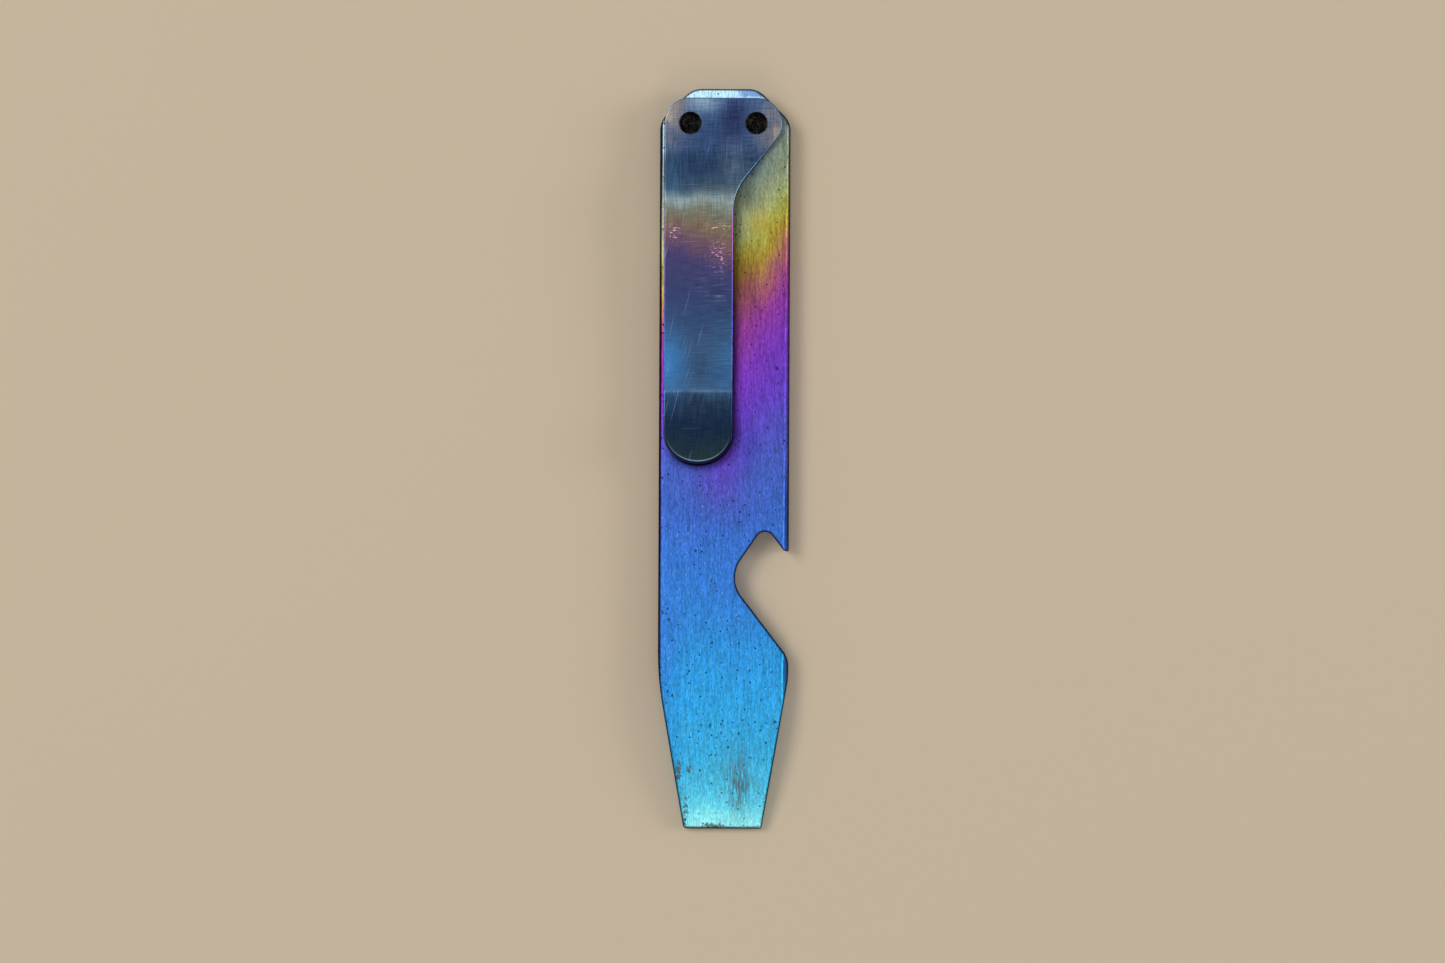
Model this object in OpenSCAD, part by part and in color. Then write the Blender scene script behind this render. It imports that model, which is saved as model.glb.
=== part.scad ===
// Pocket bottle opener: a flat titanium bar with a cap-lifting notch in one side and a pry tip,
// and a bent spring clip held to its face by two small button-head screws.
//
// Frame: the origin is the centre of the bar's footprint on its flat back face. +Z points out of
// the clip side, +Y runs to the clip end, -Y to the pry tip, and the notch opens towards +X.

/* [Bar] */
// Width of the bar stock
bar_w = 19.05; // [18.5:0.05:22]
// Overall length, from the clip end to the pry tip
bar_l = 108.3; // [104:0.1:116]
// Thickness of the bar stock
bar_t = 4; // [3.4:0.1:5]
// Size of the 45 degree cut at each corner of the clip end
corner_cut = 4.75; // [4:0.25:5]
// Radius that blends the corner cuts into the end and the sides
corner_r = 3.3; // [1:0.1:3.5]
// Width of the chamfer along the plain long edge
plain_edge = 0.42; // [0.2:0.01:0.6]
// Width of the chamfer along the notched long edge, at the clip end
notched_edge = 0.35; // [0.2:0.01:0.6]
// How much wider the notched edge's chamfer is at the pry tip
notched_edge_gain = 0.6; // [0:0.05:0.7]
// Width of the chamfer along both sides of the back face
back_edge = 0.3; // [0.1:0.05:0.5]

/* [Pry tip] */
// Width of the pry tip
tip_w = 11.4; // [8:0.1:14]
// Length of the taper that leads to the tip
taper_l = 22.2; // [20:0.1:22.8]
// Thickness left at the tip after grinding
tip_t = 1.7; // [1:0.1:2.5]
// Length of the convex grind on the clip side
grind_l = 17; // [12:0.5:20]

/* [Notch] */
// Distance from the tip's end to the point of the cap tooth
tooth_from_tip = 40.7; // [40:0.1:44]
// Opening of the notch along the bar's side, from tooth to heel
hook_gap = 15.55; // [15:0.05:16]
// Depth of the notch below the bar's side
notch_depth = 7.8; // [7.4:0.1:8.2]
// Flat width of the tooth's point
tooth_flat = 0.72; // [0.5:0.02:0.9]

/* [Clip] */
// Thickness of the clip's sheet
clip_t = 1; // [0.8:0.05:1.2]
// Width of the clip's spring arm
clip_w = 10; // [8.5:0.1:11]
// Overall length of the clip
clip_l = 53.3; // [52:0.1:55]
// Distance from the bar's plain long side to the clip
clip_inset = 0.7; // [0.6:0.05:1]
// Distance from the bar's rounded end to the clip
clip_setback = 1.4; // [1.2:0.1:1.8]
// Height of the arm's hump above the bar
hump_gap = 1.7; // [1.2:0.05:2.2]
// Clearance between the bar and the arm's contact bend
contact_gap = 0.12; // [0.1:0.01:0.3]
// Height of the flared tip above the bar
flare_gap = 2.3; // [1.5:0.1:3]

/* [Screws] */
// Distance between the two screws
screw_gap = 9.65; // [9.2:0.05:10]
// Thread diameter
screw_d = 2; // [1.6:0.1:2.2]
// Thread pitch
screw_pitch = 0.4; // [0.35:0.05:0.45]
// Head diameter
head_d = 3.3; // [3.1:0.1:3.6]
// Head height
head_h = 0.8; // [0.7:0.05:0.9]
// Length of the shank below the head
screw_l = 4.5; // [4:0.1:4.8]
// Size of the six-lobed recess, point to point
recess_d = 1.75; // [1.4:0.05:1.8]

/* [Hidden] */

$fn = 64;
arc_step = 4;              // degrees between the points of an arc
spare = 1;                 // how far a cutting shape runs past what it cuts
overlap = 0.01;            // how far two joined shapes run into each other
big = 200;                 // larger than the object, for cutting solids

side = bar_w / 2;
end_y = bar_l / 2;
tip_y = -bar_l / 2;
taper_y = tip_y + taper_l;
tooth_y = tip_y + tooth_from_tip;

// Radii of the bar's other corners
heel_r = 3.3;
plain_taper_r = 45;
notched_taper_r = 12;
tip_plain_r = 0.6;
tip_notched_r = 0.3;

// The notch's corners before rounding: inwards from the bar's side, and up from the tooth
notch_floor = [notch_depth + 1.1, -3.95];
notch_crown = [3.55, 3.9];
tooth_inner = [tooth_flat, 0.25];
notch_floor_r = 4.6;
notch_crown_r = 1.4;
tooth_r = 0.12;

// Convex grind of the tip: an arc that leaves the clip side at a slight crease
grind_crease = 1.5;        // degrees between the face and the start of the grind
grind_drop = bar_t - tip_t;
grind_turn = 2 * (atan(grind_drop / grind_l) - grind_crease);
grind_steps = 10;

// Shallow bevel across the clip end, and the chamfers of its two corners
end_bevel_l = 2.6;
end_bevel_drop = 0.35;
plain_corner_edge = 0.15;
notched_corner_edge = 0.65;
plain_edge_gain = 0.0025;  // growth of the plain edge's chamfer per millimetre, towards the clip end

clip_left = -side + clip_inset;
clip_right = clip_left + clip_w;
clip_top = end_y - clip_setback;
clip_tip = clip_top - clip_l;
clip_corner_r = 3.7;       // corner radius of the tab, concentric with its screw
screw_y = clip_top - clip_corner_r;
screw_x = [clip_left + clip_corner_r, clip_left + clip_corner_r + screw_gap];
tab_right = screw_x[1] + clip_corner_r;
diagonal_angle = 51.7;     // slope of the tab's narrowing edge
tab_right_r = 3;
tab_side_y = clip_top - 5.1; // where that edge leaves the tab's side
neck_y = tab_side_y - (tab_right - clip_right) * tan(diagonal_angle);
neck_r = 8;
tip_round = 0.86;          // the arm's rounded end is this much shorter than a half circle

// Stations of the clip's bends, measured down from its top end, and their radii
ramp_station = 8.2;
split_station = 11.7;      // where the tab node ends and the moving arm begins
hump_station = 14.5;
contact_station = 42.9;
ramp_r = 10;
hump_r = 7;
contact_r = 2.5;
split_gap = 0.03;          // gap between the tab and arm nodes

clip_hole_d = screw_d + 0.2;
bore_d = screw_d + 0.04;   // tapped holes, drawn smooth at the thread's outer diameter
bore_mouth = 0.3;          // countersink where each hole leaves the back face

thread_play = 0.02;        // radial clearance of the thread's crests
thread_depth = 0.61 * screw_pitch;
thread_crest_at = 0.6;     // where the crest of each ring lies within its pitch
thread_l = screw_l - 0.5;
head_rim = 0.2;            // height of the head's straight rim
recess_h = 0.5;
recess_cone_h = 0.15;
recess_cone_r = 0.3 * recess_d;
bite_at = 0.363 * recess_d; // distance from the recess's centre to each bite between its lobes
bite_r = 0.219 * recess_d;

// ---- outlines and bends -------------------------------------------------------------------------

function unit(v) = v / norm(v);
function left_of(v) = [-v.y, v.x];
function turned(v, a) = [v.x * cos(a) - v.y * sin(a), v.x * sin(a) + v.y * cos(a)];
function xy(v) = [v.x, v.y];

// The corner at b on the way from a to c, rounded to radius r: a list of [point, direction]
function corner(a, b, c, r) =
    let (
        u = unit(b - a),
        v = unit(c - b),
        turn = atan2(cross(u, v), u * v),
        start = b - u * r * tan(abs(turn) / 2),
        steps = max(1, ceil(abs(turn) / arc_step))
    )
    [for (k = [0 : steps])
        let (w = turned(u, turn * k / steps))
        [start + sign(turn) * r * (left_of(u) - left_of(w)), w]];

// A closed outline from corners [x, y, radius]
function outline(c) =
    [for (i = [0 : len(c) - 1])
        let (
            before = xy(c[(i + len(c) - 1) % len(c)]),
            after = xy(c[(i + 1) % len(c)])
        )
        each [for (p = corner(before, xy(c[i]), after, c[i].z)) p[0]]];

// An open path from corners [y, z, radius]: a list of [point, direction]
function path(c) =
    let (last = len(c) - 1)
    [
        [xy(c[0]), unit(xy(c[1]) - xy(c[0]))],
        for (i = [1 : last - 1]) each corner(xy(c[i - 1]), xy(c[i]), xy(c[i + 1]), c[i].z),
        [xy(c[last]), unit(xy(c[last]) - xy(c[last - 1]))]
    ];

// The outline of a strip of thickness t whose middle line is a path
function strip(p, t) = concat(
    [for (q = p) q[0] + left_of(q[1]) * t / 2],
    [for (i = [len(p) - 1 : -1 : 0]) p[i][0] - left_of(p[i][1]) * t / 2]
);

// Extrudes an outline drawn in Y and Z right across the object along X
module across() {
    rotate([90, 0, 90]) linear_extrude(height = big, center = true) children();
}

// Everything beyond a slanted plane that chamfers an edge of the face at z = 0. The solid lies to
// the right of a line drawn from p at angle a. The chamfer is w wide at p and changes by grow
// per millimetre.
module beyond_edge(p, a, w, grow = 0) {
    translate([p.x, p.y, 0]) rotate([0, 0, a])
        translate([0, -w, 0]) rotate([0, 0, -atan(grow)]) rotate([-45, 0, 0])
            translate([-big / 2, -big / 2, 0]) cube([big, big, big]);
}

// ---- bar ----------------------------------------------------------------------------------------

function bar_corners() = [
    // clip end
    [side, end_y - corner_cut, corner_r],
    [side - corner_cut, end_y, corner_r],
    [-side + corner_cut, end_y, corner_r],
    [-side, end_y - corner_cut, corner_r],
    // plain side and pry tip
    [-side, taper_y, plain_taper_r],
    [-tip_w / 2, tip_y, tip_plain_r],
    [tip_w / 2, tip_y, tip_notched_r],
    [side, taper_y, notched_taper_r],
    // notch: heel, floor, crown and the tooth
    [side, tooth_y - hook_gap, heel_r],
    [side - notch_floor.x, tooth_y + notch_floor.y, notch_floor_r],
    [side - notch_crown.x, tooth_y + notch_crown.y, notch_crown_r],
    [side - tooth_inner.x, tooth_y + tooth_inner.y, tooth_r],
    [side, tooth_y, tooth_r]
];

// The tip's convex grind as points [y, z], from the clip side down to the end of the tip
function grind_points() =
    let (radius = norm([grind_l, grind_drop]) / (2 * sin(grind_turn / 2)))
    [for (k = [0 : grind_steps])
        let (a = grind_crease + grind_turn * k / grind_steps)
        [
            tip_y + grind_l - radius * (sin(a) - sin(grind_crease)),
            bar_t - radius * (cos(grind_crease) - cos(a))
        ]];

module bar_side() {
    polygon(concat(
        [
            [tip_y + back_edge, 0],
            [end_y - back_edge, 0],
            [end_y, back_edge],
            [end_y, bar_t - end_bevel_drop],
            [end_y - end_bevel_l, bar_t]
        ],
        grind_points(),
        [[tip_y, back_edge]]
    ));
}

module tapped_hole() {
    translate([0, 0, -spare]) cylinder(h = bar_t + 2 * spare, d = bore_d);
    cylinder(h = bore_mouth, d1 = bore_d + 2 * bore_mouth, d2 = bore_d);
}

module bar() {
    corner_x = side - corner_cut / 2;
    corner_y = end_y - corner_cut / 2;
    color([0.16, 0.47, 0.83])
    difference() {
        intersection() {
            linear_extrude(height = bar_t) polygon(outline(bar_corners()));
            across() bar_side();
        }
        // chamfers of the clip side
        translate([0, 0, bar_t]) {
            beyond_edge([side, end_y], -90, notched_edge, notched_edge_gain / bar_l);
            beyond_edge([-side, tip_y], 90, plain_edge - plain_edge_gain * bar_l, plain_edge_gain);
            beyond_edge([corner_x, corner_y], -45, notched_corner_edge);
            beyond_edge([-corner_x, corner_y], 45, plain_corner_edge);
        }
        // chamfers of the back face
        mirror([0, 0, 1]) {
            beyond_edge([side, end_y], -90, back_edge);
            beyond_edge([-side, end_y], 90, back_edge);
        }
        for (x = screw_x) translate([x, screw_y, 0]) tapped_hole();
    }
}

// ---- clip ---------------------------------------------------------------------------------------

function clip_corners() = [
    [clip_left, clip_top, clip_corner_r],
    [clip_left, clip_tip, 0],
    [clip_right, clip_tip, 0],
    [clip_right, neck_y, neck_r],
    [tab_right, tab_side_y, tab_right_r],
    [tab_right, clip_top, clip_corner_r]
];

// Everything above the arm's rounded end
module above_round_tip() {
    polygon(concat(
        [
            [clip_left, clip_top + spare],
            [tab_right + spare, clip_top + spare],
            [tab_right + spare, neck_y - neck_r],
            [clip_right, neck_y - neck_r]
        ],
        [for (a = [0 : arc_step : 180])
            [
                (clip_left + clip_right) / 2 + clip_w / 2 * cos(a),
                clip_tip + clip_w / 2 * tip_round * (1 - sin(a))
            ]]
    ));
}

// Middle line of the clip's sheet, from beyond its top end to beyond its flared tip
function clip_path() =
    let (rest = bar_t + clip_t / 2)
    path([
        [clip_top + spare, rest, 0],
        [clip_top - ramp_station, rest, ramp_r],
        [clip_top - hump_station, rest + hump_gap, hump_r],
        [clip_top - contact_station, rest + contact_gap, contact_r],
        [clip_tip - spare, rest + flare_gap, 0]
    ]);

// The stretch of the clip that lies between two heights on the bar
module clip_between(y_low, y_high) {
    intersection() {
        translate([0, 0, bar_t - spare]) linear_extrude(height = big) intersection() {
            polygon(outline(clip_corners()));
            above_round_tip();
        }
        across() polygon(strip(clip_path(), clip_t));
        translate([-big / 2, y_low, 0]) cube([big, y_high - y_low, big]);
    }
}

module clip_tab() {
    color([0.36, 0.44, 0.55])
    difference() {
        clip_between(clip_top - split_station, clip_top + spare);
        for (x = screw_x) translate([x, screw_y, bar_t - spare])
            cylinder(h = clip_t + 2 * spare, d = clip_hole_d);
    }
}

module clip_arm() {
    color([0.26, 0.38, 0.52]) clip_between(clip_tip - spare, clip_top - split_station - split_gap);
}

// ---- screws -------------------------------------------------------------------------------------

// Six-lobed socket: a circle with a round bite between each two lobes
module recess_plan() {
    difference() {
        circle(d = recess_d);
        for (k = [0 : 5]) rotate(60 * k + 30) translate([bite_at + bite_r, 0]) circle(r = bite_r);
    }
}

module recess() {
    translate([0, 0, head_h - recess_h]) linear_extrude(height = head_h) recess_plan();
    translate([0, 0, head_h - recess_h - recess_cone_h])
        cylinder(h = recess_cone_h + overlap, r1 = recess_cone_h, r2 = recess_cone_r);
}

// Domed button head, standing on z = 0
module head() {
    dome_h = head_h - head_rim;
    dome_r = (pow(head_d / 2, 2) + dome_h * dome_h) / (2 * dome_h);
    difference() {
        intersection() {
            cylinder(h = head_h, d = head_d);
            translate([0, 0, head_h - dome_r]) sphere(r = dome_r);
        }
        recess();
    }
}

// Shank with its thread drawn as plain rings, one for each pitch
module threaded_shank() {
    crest = screw_d / 2 - thread_play;
    root = crest - thread_depth;
    rotate_extrude() polygon(concat(
        [[0, 0], [0, -screw_l], [root, -screw_l]],
        [for (k = [0 : floor(thread_l / screw_pitch) - 1]) each [
            [crest, -screw_l + (k + thread_crest_at) * screw_pitch],
            [root, -screw_l + (k + 1) * screw_pitch]
        ]],
        [[root, 0]]
    ));
}

module screw(x) {
    color([0.06, 0.06, 0.07]) translate([x, screw_y, bar_t + clip_t]) {
        head();
        threaded_shank();
    }
}

module clip_screw_left() { screw(screw_x[0]); }

module clip_screw_right() { screw(screw_x[1]); }

bar();
clip_tab();
clip_arm();
clip_screw_left();
clip_screw_right();
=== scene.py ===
import math
from functools import reduce

import bpy
import numpy as np
from mathutils import Matrix, Vector
from mathutils.geometry import delaunay_2d_cdt


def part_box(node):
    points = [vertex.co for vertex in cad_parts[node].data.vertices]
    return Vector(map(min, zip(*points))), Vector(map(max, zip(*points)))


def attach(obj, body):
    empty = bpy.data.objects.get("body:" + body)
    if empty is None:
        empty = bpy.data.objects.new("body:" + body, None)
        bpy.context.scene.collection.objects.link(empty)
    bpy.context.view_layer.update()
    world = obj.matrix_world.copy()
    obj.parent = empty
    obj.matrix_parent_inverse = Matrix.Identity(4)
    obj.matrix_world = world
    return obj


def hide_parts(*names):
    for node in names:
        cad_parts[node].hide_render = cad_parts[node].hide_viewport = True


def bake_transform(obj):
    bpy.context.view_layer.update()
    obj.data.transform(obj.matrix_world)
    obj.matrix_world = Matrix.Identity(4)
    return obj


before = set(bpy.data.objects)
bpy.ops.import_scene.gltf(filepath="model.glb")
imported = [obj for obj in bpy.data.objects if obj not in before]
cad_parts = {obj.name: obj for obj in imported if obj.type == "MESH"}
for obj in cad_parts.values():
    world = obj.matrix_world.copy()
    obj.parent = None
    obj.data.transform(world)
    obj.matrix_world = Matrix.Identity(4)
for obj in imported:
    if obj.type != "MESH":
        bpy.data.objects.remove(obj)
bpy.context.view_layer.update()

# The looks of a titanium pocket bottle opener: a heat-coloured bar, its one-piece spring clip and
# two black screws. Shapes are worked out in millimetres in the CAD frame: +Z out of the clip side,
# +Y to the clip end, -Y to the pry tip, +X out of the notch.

MM = 0.001


def in_mm(node):
    """The lowest and highest corners of a CAD node, in millimetres."""
    low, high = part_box(node)
    return np.array(low) / MM, np.array(high) / MM


# ---- sizes, in millimetres ----

BAR_LOW, BAR_HIGH = in_mm("bar")
SIDE = BAR_HIGH[0]
END_Y = BAR_HIGH[1]
TIP_Y = BAR_LOW[1]
BAR_T = BAR_HIGH[2]

# Bar outline, as in the CAD model
CORNER_CUT = 4.75
CORNER_R = 3.3
TIP_HALF = 5.7
TAPER_Y = TIP_Y + 22.2
PLAIN_TAPER_R = 45.0
NOTCHED_TAPER_R = 12.0
PLAIN_TIP_R = 0.6
NOTCHED_TIP_R = 0.3
TOOTH_Y = TIP_Y + 40.7
HOOK_GAP = 15.55
HEEL_R = 3.3
NOTCH_FLOOR = (8.9, -3.95)
NOTCH_FLOOR_R = 4.6
NOTCH_CROWN = (3.55, 3.9)
NOTCH_CROWN_R = 1.4
TOOTH_INNER = (0.74, 0.24)
TOOTH_R = 0.2

# Bar faces
GRIND_L = 17.0
GRIND_DROP = 2.3
GRIND_CURVE = 1.8
PLAIN_EDGE = 0.42
PLAIN_EDGE_GAIN = 0.0025
NOTCHED_EDGE = 0.35
NOTCHED_EDGE_GAIN = 0.0055
BACK_EDGE = 0.3
END_BEVEL_L = 2.6
END_BEVEL_SLOPE = 0.35 / END_BEVEL_L
NOTCHED_CORNER_EDGE = 0.65
PLAIN_CORNER_EDGE = 0.15
END_EDGE = 0.5
END_EDGE_START = -1.5
END_EDGE_GAIN = 0.07
TIP_EDGE = 0.4
CREASE_R = 0.05
BAR_EDGE_R = 0.1
BAR_EDGE_BAND = 0.26
BAR_ROW_GAP = 1.0

# Screws and their holes
LEFT_LOW, LEFT_HIGH = in_mm("clip_screw_left")
RIGHT_LOW, RIGHT_HIGH = in_mm("clip_screw_right")
SCREW_POINTS = [(LEFT_LOW + LEFT_HIGH)[:2] / 2, (RIGHT_LOW + RIGHT_HIGH)[:2] / 2]
SCREW_END_Z = LEFT_LOW[2]
BORE_R = 1.02
BORE_MOUTH = 0.3
BORE_TURNS = 8
BORE_THREAD = 0.1
CLIP_HOLE_R = 1.1
CLIP_HOLE_EDGE = 0.1
HOLE_SUPPORT = 0.05
HEAD_H = 0.8
HEAD_RIM = 0.2
HEAD_EDGE_R = 0.12
HEAD_EDGE_H = 0.11
HEAD_UNDERCUT = 0.04
SHANK_R = 0.98
SHANK_NECK = 0.15
PITCH = 0.4
THREAD_DEPTH = 0.22
THREAD_START = 0.1
THREAD_RUN_OUT = 0.45
THREAD_STEPS = 8
THREAD_SLOPE = 1.35
THREAD_ROOT = 0.15
SHANK_END_CUT = 0.12
SOCKET_MEAN_R = 0.755
SOCKET_LOBE = 0.12
SOCKET_H = 0.5
SOCKET_DISH = 0.16

# Clip
TAB_LOW, TAB_HIGH = in_mm("clip_tab")
ARM_LOW, ARM_HIGH = in_mm("clip_arm")
CLIP_T = 1.0
CLIP_W = 10.0
CLIP_LEFT = TAB_LOW[0]
CLIP_RIGHT = CLIP_LEFT + CLIP_W
CLIP_MIDDLE = (CLIP_LEFT + CLIP_RIGHT) / 2
CLIP_TOP = TAB_HIGH[1]
CLIP_TIP = ARM_LOW[1]
TAB_RIGHT = TAB_HIGH[0]
TAB_CORNER_R = 3.7
TAB_SIDE_Y = CLIP_TOP - 5.1
TAB_SIDE_R = 3.0
DIAGONAL = math.radians(51.7)
NECK_Y = TAB_SIDE_Y - (TAB_RIGHT - CLIP_RIGHT) * math.tan(DIAGONAL)
NECK_R = 8.0
TIP_ROUND = 0.86
CLIP_EDGE_R = 0.13
CLIP_BACK_EDGE_R = 0.08
CLIP_EDGE_BAND = 0.06
CLIP_ROW_GAP = 0.8

# The sheet's middle line: each bend's distance down from the clip's top end, the gap between
# the sheet and the bar there, and its radius
CLIP_REST = BAR_T + CLIP_T / 2
CLIP_BENDS = [(8.2, 0.0, 10.0), (14.5, 1.7, 7.0), (42.9, 0.12, 2.5)]
FLARE_GAP = 2.3
PAST_END = 1.0


# ---- outlines ----

ARC_STEP = math.radians(3)
BEND_STEP = math.radians(1.5)
TIP_STEP_DEGREES = 4
SAME_POINT = 0.001

# How far in a ring may lie near a corner: a share of its radius and of the distance from it
ROOM_BY_RADIUS = 0.6
ROOM_BY_DISTANCE = 0.2
LEAST_ROOM = 0.145


def unit(v):
    return v / np.hypot(*v)


def left_of(v):
    return np.array([-v[1], v[0]])


def turned(v, angle):
    c, s = math.cos(angle), math.sin(angle)
    return np.array([v[0] * c - v[1] * s, v[0] * s + v[1] * c])


def fillet(before, here, after, radius, step=ARC_STEP):
    """The points and directions of a corner rounded to a radius."""
    before, here, after = (np.array(p[:2], float) for p in (before, here, after))
    u = unit(here - before)
    v = unit(after - here)
    turn = math.atan2(u[0] * v[1] - u[1] * v[0], u @ v)
    start = here - u * radius * math.tan(abs(turn) / 2)
    steps = max(1, math.ceil(abs(turn) / step))
    directions = [turned(u, turn * k / steps) for k in range(steps + 1)]
    bend = math.copysign(radius, turn)
    points = [start + bend * (left_of(u) - left_of(w)) for w in directions]
    return points, directions


def rounded(corners, chosen=None):
    """Points and outward normals of a counter-clockwise outline of corners (x, y, radius)."""
    points, normals = [], []
    count = len(corners)
    for i in chosen or range(count):
        found, directions = fillet(corners[i - 1], corners[i], corners[(i + 1) % count], corners[i][2])
        points += found
        normals += [-left_of(w) for w in directions]
    return np.array(points), np.array(normals)


def room_at(points, corners):
    """How far in from an outline's points a ring may lie without crossing itself."""
    room = np.full(len(points), np.inf)
    for x, y, radius in corners:
        away = np.hypot(points[:, 0] - x, points[:, 1] - y)
        room = np.minimum(room, ROOM_BY_RADIUS * radius + ROOM_BY_DISTANCE * away)
    return np.maximum(room, LEAST_ROOM)


def hole(centre, radius, count=72):
    """A clockwise circle. Its normals point into the hole, which is out of the solid."""
    angles = -np.linspace(0, 2 * math.pi, count, endpoint=False)
    rays = np.column_stack([np.cos(angles), np.sin(angles)])
    return centre + radius * rays, -rays


def with_stations(loop, rows, gap):
    """The loop with points added where it crosses the rows, and on stretches longer than a gap."""
    points, normals = loop
    kept_points, kept_normals = [], []
    for p, q, m, n in zip(points, np.roll(points, -1, 0), normals, np.roll(normals, -1, 0)):
        length = np.hypot(*(q - p))
        if length < SAME_POINT:
            continue
        cuts = [0.0]
        if length > gap / 4 and abs(q[1] - p[1]) > length / 4:
            margin = gap / 20 / length
            crossings = (rows - p[1]) / (q[1] - p[1])
            cuts += sorted(crossings[(crossings > margin) & (crossings < 1 - margin)])
        elif length > gap:
            cuts = list(np.arange(math.ceil(length / gap)) / math.ceil(length / gap))
        for t in cuts:
            kept_points.append(p + t * (q - p))
            kept_normals.append(unit(m + t * (n - m)))
    return np.array(kept_points), np.array(kept_normals)


def inside(points, rim):
    """Which points lie inside a closed rim."""
    x, y = points[:, :1], points[:, 1:]
    a, b = rim, np.roll(rim, -1, 0)
    spans = (a[:, 1] > y) != (b[:, 1] > y)
    rise = np.where(a[:, 1] == b[:, 1], 1, b[:, 1] - a[:, 1])
    left = x < (b[:, 0] - a[:, 0]) * (y - a[:, 1]) / rise + a[:, 0]
    return (spans & left).sum(1) % 2 == 1


def distance(points, line, closed=True):
    """The distance from each point to a line of straight segments."""
    a = line if closed else line[:-1]
    d = (np.roll(line, -1, 0) if closed else line[1:]) - a
    a, d = a[d.any(axis=1)], d[d.any(axis=1)]
    t = np.clip(((points[:, None] - a) * d).sum(-1) / (d * d).sum(-1), 0, 1)
    return np.linalg.norm(points[:, None] - a - t[..., None] * d, axis=-1).min(1)


def on_plate(points, rims, clear):
    """Which points lie on the plate between its rims, clear of them."""
    kept = inside(points, rims[0])
    for rim in rims[1:]:
        kept &= ~inside(points, rim)
    for rim in rims:
        kept &= distance(points, rim) > clear
    return kept


# ---- meshes ----

ONLY_INSIDE = 1
MERGE_DISTANCE = 1e-6


def add_mesh(name, vertices, faces, edge_mark=None):
    """A smooth-shaded object from millimetre vertices. edge_mark, from 0 to 1, marks its edges."""
    mesh = bpy.data.meshes.new(name)
    mesh.from_pydata((np.array(vertices) * MM).tolist(), [], faces)
    mesh.shade_smooth()
    if edge_mark is not None:
        edge_attribute = mesh.attributes.new("edge_mark", "FLOAT", "POINT")
        edge_attribute.data.foreach_set("value", np.array(edge_mark, np.float32))
    piece = bpy.data.objects.new(name, mesh)
    bpy.context.scene.collection.objects.link(piece)
    return piece


def runs_on_plate(line, rims, clear):
    """The stretches of a line that lie on the plate."""
    kept = on_plate(line, rims, clear)
    runs = np.split(np.arange(len(line)), np.flatnonzero(np.diff(kept.astype(int))) + 1)
    return [line[run] for run in runs if kept[run[0]] and len(run) > 1]


def triangulated(rims, rows, gap, creases):
    """Points and triangles between the rims, over a grid on the rows and along the creases, and
    which rim point each point is."""
    lines = [run for crease in creases for run in runs_on_plate(crease, rims, gap / 25)]
    columns = np.arange(rims[0][:, 0].min(), rims[0][:, 0].max(), gap)
    grid = np.array([(x, y) for y in rows for x in columns])
    grid = grid[on_plate(grid, rims, gap / 3)]
    for line in lines:
        grid = grid[distance(grid, line, closed=False) > gap / 4]
    points, edges = [], []
    for ring in rims:
        first = len(points)
        points += list(ring)
        edges += [(first + i, first + (i + 1) % len(ring)) for i in range(len(ring))]
    rim_count = len(points)
    for line in lines:
        first = len(points)
        points += list(line)
        edges += [(first + i, first + i + 1) for i in range(len(line) - 1)]
    points += list(grid)
    found, _, triangles, origins, _, _ = delaunay_2d_cdt(
        [Vector(p) for p in points], edges, [], ONLY_INSIDE, MERGE_DISTANCE
    )
    found = np.array([tuple(p) for p in found])
    triangles = np.array([t for t in triangles if len(t) == 3])
    centres = found[triangles].mean(1)
    kept = np.ones(len(triangles), bool)
    for rim in rims[1:]:
        kept &= ~inside(centres, rim)
    rim_index = [next((o for o in origin if o < rim_count), None) for origin in origins]
    return found, triangles[kept], rim_index


def plate(name, loops, sections, place, rows, gap, top_creases=(), back_creases=(), corners=()):
    """A closed plate. Each loop has a section: its rings from the top cap round to the back cap,
    as (inset, face, rise, edge mark), where face is 1 at the top and 0 at the back. An inset is less
    near a tight corner that has no room for it. place(points, face, rise) gives the position of
    flat points."""
    vertices, edge_mark, faces = [], [], []
    top_rims, back_rims = [], []
    for (points, normals), section in zip(loops, sections):
        room = room_at(points, corners)
        count = len(points)
        rings = []
        # rubbed is the ring's edge mark, which paints shade on the bar's edges and a highlight on the
        # clip's rim
        for inset, face, rise, rubbed in section:
            flat_ring = points - normals * np.minimum(inset, room)[:, None]
            rings.append((len(vertices), flat_ring))
            vertices += list(place(flat_ring, face, rise))
            edge_mark += [rubbed] * count
        for (upper, _), (lower, _) in zip(rings, rings[1:]):
            for i in range(count):
                j = (i + 1) % count
                faces.append((upper + i, lower + i, lower + j, upper + j))
        top_rims.append(rings[0])
        back_rims.append(rings[-1])
    for face, rims, creases in ((1.0, top_rims, top_creases), (0.0, back_rims, back_creases)):
        flat_rims = [flat_ring for _, flat_ring in rims]
        found, triangles, rim_index = triangulated(flat_rims, rows, gap, creases)
        rim_vertices = [first + i for first, flat_ring in rims for i in range(len(flat_ring))]
        placed = place(found, face, 0.0)
        number = {}
        for i in np.unique(triangles):
            if rim_index[i] is None:
                number[i] = len(vertices)
                vertices.append(placed[i])
                edge_mark.append(0.0)
            else:
                number[i] = rim_vertices[rim_index[i]]
        for triangle in triangles:
            cap_face = tuple(number[i] for i in triangle)
            faces.append(cap_face if face else cap_face[::-1])
    return add_mesh(name, vertices, faces, edge_mark)


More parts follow.
